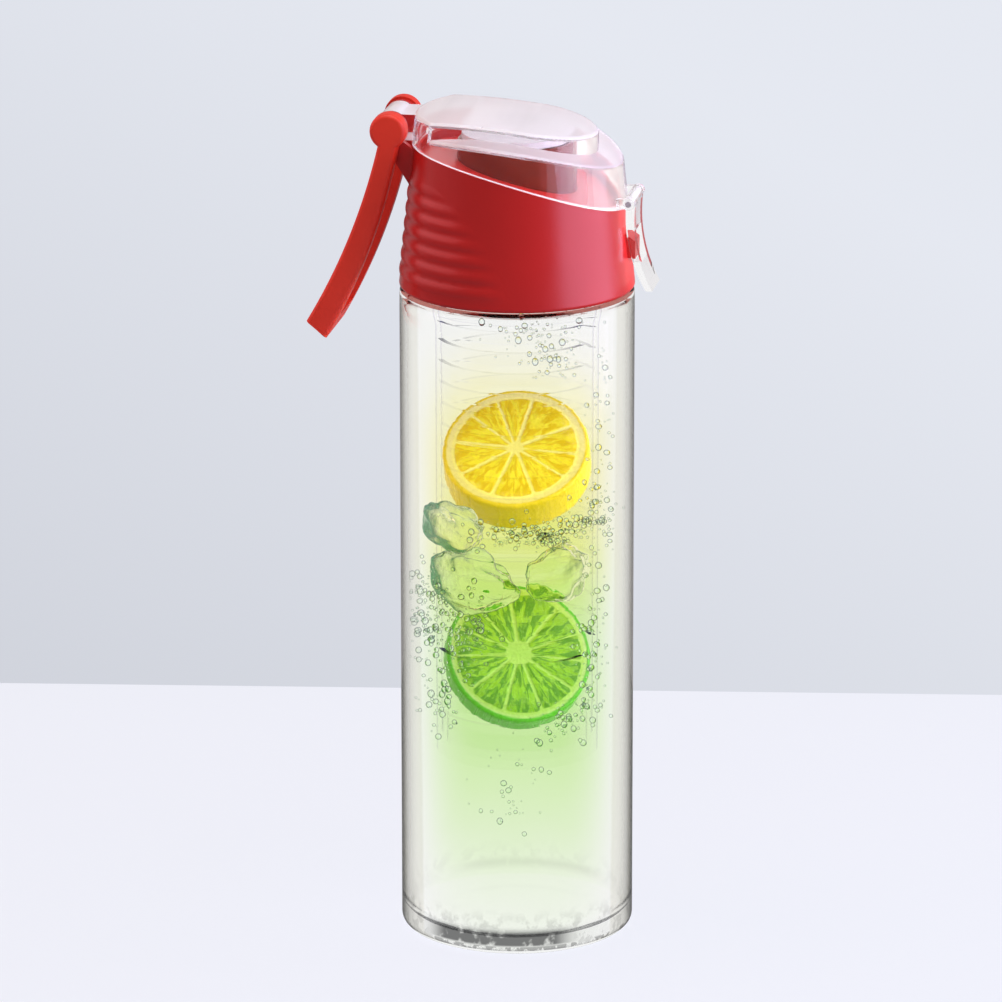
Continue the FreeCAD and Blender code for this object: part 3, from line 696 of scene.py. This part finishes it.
# Seals and stopper: soft translucent white silicone rings at the neck, tube and spout, and the stopper
# that snaps on the cover's boss and closes the spout.
def silicone(name, dark, light):
    material, tree, shader, _ = started(name)
    skin = effect_node(tree, moulding, Grain=1800.0, Flow=60.0)
    bump = add(tree, "Bump", {"Strength": 0.15, "Distance": 0.0002, "Height": skin["Height"]})
    feed(tree, shader, {
        "Base Color": blended(tree, skin["Tone"], dark, light),
        "Roughness": ramped(tree, skin["Tone"], 0, 1, to_low=0.42, to_high=0.55),
        "Normal": bump.outputs[0], "Transmission Weight": 0.25})
    return material


white_silicone = silicone("white_silicone", dark=(0.82, 0.82, 0.82, 1), light=(0.90, 0.90, 0.89, 1))
shown(merged("lid_seal"), "neck_seal", white_silicone, "lid_rise", "silicone", "lid_seal")
shown(merged("infuser_ring"), "tube_seal", white_silicone, "lid", "silicone", "infuser_ring")
shown(merged("spout_gasket"), "spout_foot_seal", white_silicone, "lid", "silicone", "spout_gasket")
shown(merged("spout_seal"), "spout_stopper", white_silicone, "cover", "silicone", "spout_seal")


# Flip cover: a clear two-tier moulding that hinges at the back and seals the spout. It is see-through,
# with a violet cast where its walls are seen edge on. Its roof, lower step and rim are frosted. Its
# front grows milky and whiter in small steps, a painted sheen that stands in for a lamp's reflection.
cover_clear = (0.985, 0.975, 0.985, 1)
cover_violet = (0.66, 0.60, 0.76, 1)
cover_look = {"edge": cover_violet, "edge_start": 0.70, "roughness": 0.02, "ior": 1.30}
clear_cover = clear_plastic("clear_cover", cover_clear, **cover_look)
frosted_cover = clear_plastic(
    "frosted_cover", (0.97, 1.0, 0.98, 1), edge=(0.88, 0.88, 0.93, 1), edge_start=0.78,
    roughness=0.08, ior=1.40, milk=0.78)
tier_cover = clear_plastic(
    "tier_cover", (0.99, 0.98, 0.99, 1), edge=(0.90, 0.87, 0.93, 1), edge_start=0.78,
    roughness=0.05, ior=1.35, milk=0.58)
# Painted sheen on the cover's front: whiter and milkier in steps, standing in for a lamp's reflection.
front_sheen_white = (0.96, 1.0, 0.84, 1)
front_sheen_milk = 0.38
front_steps = 6
front_sheen_covers = []
for step in range(1, front_steps + 1):
    share = step / front_steps
    tone = [clear + (white - clear) * share for clear, white in zip(cover_clear, front_sheen_white)]
    front_sheen_covers.append(clear_plastic(f"front_sheen_cover_{step}", tone, **cover_look, milk=front_sheen_milk * share))

roof_slope = 0.5
dome_low = 0.256
dome_fall = 0.19
rim_middle = 0.0390
rim_front = 0.0247
rim_room = 0.002
front_start = 0.010
front_from = 0.42
front_to = 0.85


def cover_finish(face):
    forward = face.center.x / lid_radius
    rim_rise = rim_middle + (rim_front - rim_back) / 2 * forward
    rim_rise += ((rim_front + rim_back) / 2 - rim_middle) * forward ** 2
    if face.normal.z > roof_slope:
        on_dome = face.center.z > dome_low - dome_fall * max(0.0, face.center.x)
        return frosted_cover if on_dome else tier_cover
    if face.normal.z < -roof_slope and face.center.z < lid_foot + rim_rise + rim_room:
        return frosted_cover
    # Faces that look forward take the steps of painted sheen.
    if face.center.x > front_start and face.normal.x > front_from:
        share = min(1.0, (face.normal.x - front_from) / (front_to - front_from))
        return front_sheen_covers[max(1, round(share * front_steps)) - 1]
    return clear_cover


piece = shown(merged("flip_cover"), "clear_flip_cover", clear_cover, "cover", "clear_cover",
              "flip_cover", sharp=40)
finished(piece, (clear_cover, frosted_cover, tier_cover, *front_sheen_covers), cover_finish)


# Front latch and its pin: a clear moulded clip that hangs from the cover's lugs and snaps over the lid's
# catch. It swings on a drawn steel pin that is pressed into the lugs.
def steel(name, dark, light):
    material, tree, shader, _ = started(name)
    place = add(tree, "TexCoord").outputs["Object"]
    drawn = add(tree, "Mapping", {"Vector": place, "Scale": (1, 30, 1)}).outputs[0]
    scratches = noisy(tree, drawn, scale=300.0, detail=3.0)
    feed(tree, shader, {
        "Base Color": blended(tree, scratches, dark, light), "Metallic": 0.6,
        "Roughness": ramped(tree, scratches, low=0.3, high=0.7, to_low=0.34, to_high=0.48)})
    return material


pin_steel = steel("pin_steel", dark=(0.70, 0.70, 0.72, 1), light=(0.86, 0.86, 0.88, 1))
clear_clip = clear_plastic(
    "clear_clip", (0.985, 0.97, 0.98, 1), edge=cover_violet, edge_start=0.70, roughness=0.02, ior=1.20)
shown(merged("latch"), "clear_latch", clear_clip, "latch", "clear_cover", "latch")
shown(merged("latch_pin"), "latch_pin_steel", pin_steel, "cover", "steel", "latch_pin")


# Hinge pin and carry handle: one steel pin through cover, lid ears and handle heads; the handle is a
# solid red loop, a little duller and more orange than the lid.
handle_red = red_plastic("handle_red", deep=(0.79, 0.034, 0.012, 1), bright=(0.85, 0.042, 0.016, 1),
                         smooth=0.45, rough=0.55, grain=1100.0, grain_depth=0.18)
shown(merged("hinge_pin"), "hinge_pin_steel", pin_steel, "lid", "steel", "hinge_pin")
shown(merged("carry_handle"), "loop_handle", handle_red, "handle", "red_plastic", "carry_handle", sharp=40)


# Table: a pale matt plate whose far edge makes the horizon. Looked at straight it has the photographed
# tone; through clear plastic it is plain white, and in gloss it is dark.
table_back_left = Vector((-0.218, 0.2068, 0))
table_back_right = Vector((0.1247, 0.2535, 0))
table_reach = 3.0
table_front = 1.45
along = (table_back_right - table_back_left).normalized()
square = Vector((along.y, -along.x, 0))
middle = (table_back_left + table_back_right) / 2
bm = bmesh.new()
corners = [middle + along * across * table_reach + square * forward * table_front
           for across, forward in ((-1, 0), (-1, 1), (1, 1), (1, 0))]
bm.faces.new([bm.verts.new(corner) for corner in corners])
bmesh.ops.recalc_face_normals(bm, faces=bm.faces)
mesh = bpy.data.meshes.new("table")
bm.to_mesh(mesh)
bm.free()
table = bpy.data.objects.new("table", mesh)
bpy.context.scene.collection.objects.link(table)

table_dark = (0.52, 0.53, 0.57, 1)
table_light = (0.56, 0.57, 0.61, 1)
table_tone = (0.855, 0.880, 0.947, 1)
table_glow = 1.11
glow_share = 0.8
seen_through = (0.93, 0.935, 0.93, 1)
gloss_front = (0.16, 0.16, 0.17, 1)
material, tree, shader, out = started("pale_table")
speckle = noisy(tree, add(tree, "TexCoord").outputs["Object"], scale=6.0)
feed(tree, shader, {"Base Color": blended(tree, speckle, table_dark, table_light), "Roughness": 0.7})
path = add(tree, "LightPath").outputs
surface = shader
for share, tone, strength in ((times(tree, path["Is Camera Ray"], glow_share), table_tone, table_glow),
                              (path["Is Glossy Ray"], gloss_front, 1.0),
                              (path["Is Transmission Ray"], seen_through, 1.0)):
    light = add(tree, "Emission", {"Color": tone, "Strength": strength})
    surface = add(tree, "MixShader", {0: share, 1: surface.outputs[0], 2: light.outputs[0]})
feed(tree, out, {"Surface": surface.outputs[0]})
mesh.materials.append(material)


# Backdrop: a pale grey-blue studio wall, lighter towards the upper right of the picture. It is the world's
# colour, plain white through clear plastic and dark in gloss, and it only faintly lights the bottle.
view_azimuth = radians(10)
view_elevation = radians(16.26)
right = Vector((cos(view_azimuth), sin(view_azimuth), 0))
back = Vector((sin(view_azimuth) * cos(view_elevation), -cos(view_azimuth) * cos(view_elevation),
               sin(view_elevation)))
upward = back.cross(right)
wall_dark = (0.592, 0.612, 0.672, 1)
wall_light = (0.787, 0.812, 0.880, 1)
lightness_middle = 0.60
lighter_across = 3.2
lighter_up = 5.8
gloss_back = (0.42, 0.40, 0.42, 1)
wall_fill = (0.20, 0.19, 0.18, 1)
world = bpy.data.worlds.new("studio")
bpy.context.scene.world = world
world.use_nodes = True
tree = world.node_tree
tree.nodes.clear()
direction = add(tree, "TexCoord").outputs["Generated"]
across = vectors(tree, "DOT_PRODUCT", direction, right, gives="Value")
rise = vectors(tree, "DOT_PRODUCT", direction, upward, gives="Value")
toward = vectors(tree, "DOT_PRODUCT", direction, back, gives="Value")
slope = sums(tree, "MULTIPLY_ADD", rise, lighter_up, lightness_middle)
slope = sums(tree, "MULTIPLY_ADD", across, lighter_across, slope)
lit = add(tree, "Clamp", {"Value": slope}).outputs[0]
mirrored = blended(tree, ramped(tree, toward, low=-0.6, high=0.7), gloss_back, gloss_front)
path = add(tree, "LightPath").outputs
colour = blended(tree, path["Is Camera Ray"], wall_fill, blended(tree, lit, wall_dark, wall_light))
colour = blended(tree, path["Is Glossy Ray"], colour, mirrored)
colour = blended(tree, path["Is Transmission Ray"], colour, seen_through)
sky = add(tree, "Background", {"Color": colour, "Strength": 1.0})
add(tree, "OutputWorld", {"Surface": sky.outputs[0]})


# Studio lights: a large soft box close by at the right, a weaker reddish one at the left and a white one
# overhead. Each is a flat rectangle that faces the middle of the bottle.
light_aim = Vector((0, 0, 0.15))


def soft_box(name, azimuth, elevation, distance, width, tall, radiance, colour):
    lamp = bpy.data.lights.new(name, "AREA")
    lamp.shape = "RECTANGLE"
    lamp.size = width
    lamp.size_y = tall
    lamp.energy = radiance * pi * width * tall
    lamp.color = colour
    box = bpy.data.objects.new(name, lamp)
    around = radians(azimuth)
    above = radians(elevation)
    way = Vector((sin(around) * cos(above), -cos(around) * cos(above), sin(above)))
    box.location = light_aim + way * distance
    box.rotation_mode = "QUATERNION"
    box.rotation_quaternion = way.to_track_quat("Z", "Y")
    bpy.context.scene.collection.objects.link(box)


soft_box("soft_box_right", azimuth=85, elevation=12, distance=0.72, width=0.92, tall=0.80,
         radiance=3.2, colour=(1.0, 0.84, 1.24))
soft_box("soft_box_left", azimuth=-82, elevation=30, distance=1.1, width=1.1, tall=1.0,
         radiance=1.50, colour=(1.0, 0.38, 0.42))
soft_box("soft_box_top", azimuth=20, elevation=80, distance=1.0, width=0.9, tall=0.9,
         radiance=2.1, colour=(1.0, 1.0, 1.0))


# Camera: a long lens a little above the bottle, turned slightly to its front. Light may bounce often
# enough to pass all the clear walls that lie behind each other.
aim = Vector((0, 0, 0.136))
camera_distance = 2.224
image_side = 1002
focal_pixels = 7212
axis_shift_pixels = 16.1
sensor = 36.0
lens = bpy.data.cameras.new("camera")
lens.sensor_width = sensor
lens.lens = focal_pixels * sensor / image_side
lens.shift_x = -axis_shift_pixels / image_side
camera = bpy.data.objects.new("camera", lens)
camera.location = aim + back * camera_distance
camera.rotation_mode = "QUATERNION"
camera.rotation_quaternion = (-back).to_track_quat("-Z", "Y")
bpy.context.scene.collection.objects.link(camera)
bpy.context.scene.camera = camera
bpy.context.scene.view_settings.view_transform = "Standard"
bpy.context.scene.cycles.transparent_max_bounces = 24
bpy.context.scene.cycles.max_bounces = 20
bpy.context.scene.cycles.transmission_bounces = 18
bpy.context.scene.cycles.glossy_bounces = 16
